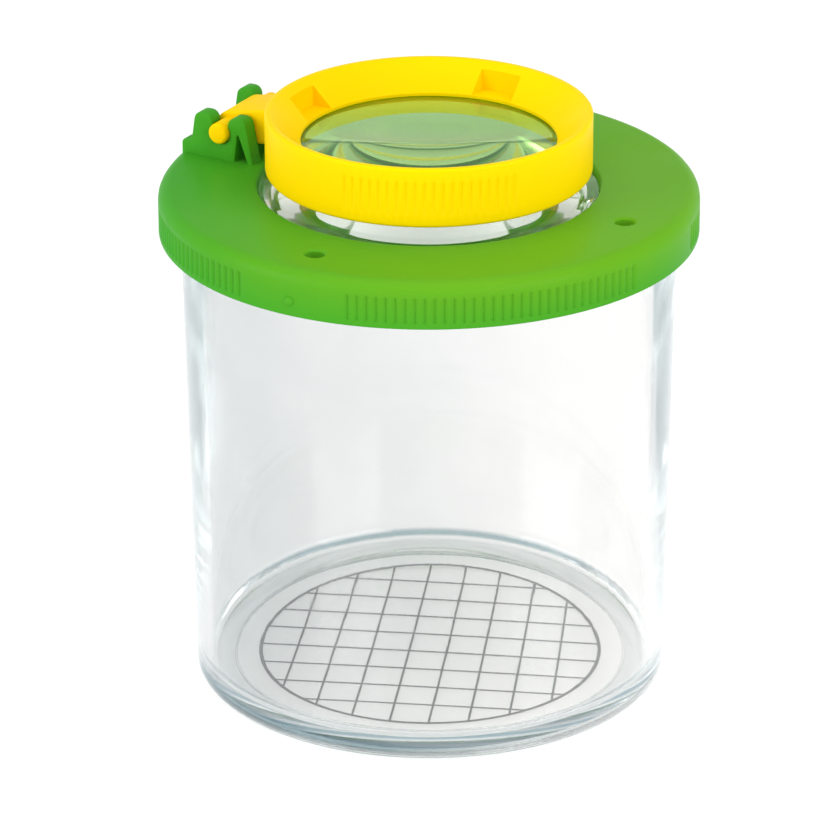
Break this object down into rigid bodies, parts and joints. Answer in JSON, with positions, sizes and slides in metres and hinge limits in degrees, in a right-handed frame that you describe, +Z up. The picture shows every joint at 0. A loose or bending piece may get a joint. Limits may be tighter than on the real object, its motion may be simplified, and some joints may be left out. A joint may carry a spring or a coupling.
{
  "type": "bug catcher jar",
  "caption": "Clear round jar for watching insects, with a measuring grid under its floor, a green screw lid holding a lens, and a yellow magnifier that folds up on a snap hinge.",
  "frame": {"origin": "middle of the jar's foot, on the plane it stands on", "axes": "+Z up along the jar's axis, -X towards the hinge, Y along the hinge axis"},
  "size_m": [0.0694, 0.0694, 0.077],
  "materials": {
    "clear_jar": "clear moulded polystyrene",
    "clear_film": "clear film",
    "grid_ink": "black printing ink",
    "lid_green": "smooth moulded green plastic",
    "clear_lens": "polished clear acrylic",
    "frame_yellow": "smooth moulded yellow plastic"
  },
  "bodies": {
    "jar": {"jar_body": "clear_jar", "measuring_disc": "clear_film", "measuring_grid": "grid_ink"},
    "lens": {"lid_lens": "clear_lens"},
    "lid": {"lid": "lid_green"},
    "magnifier": {"magnifier_frame": "frame_yellow", "magnifier_lens": "clear_lens"}
  },
  "joints": [
    {"name": "lid_lift", "type": "slide", "parent": "jar", "child": "lens", "axis": [0, 0, 1], "range_m": [0, 0.005]},
    {"name": "lid_turn", "type": "hinge", "parent": "lens", "child": "lid", "pos_m": [0, 0, 0.0655], "axis": [0, 0, 1], "range_deg": [0, 360]},
    {"name": "magnifier_flip", "type": "hinge", "parent": "lid", "child": "magnifier", "pos_m": [-0.0275, 0, 0.071], "axis": [0, -1, 0], "range_deg": [0, 160]}
  ],
  "couplings": [
    {"joint": "lid_lift", "follows": "lid_turn", "m_per_rad": 0.00079577}
  ]
}
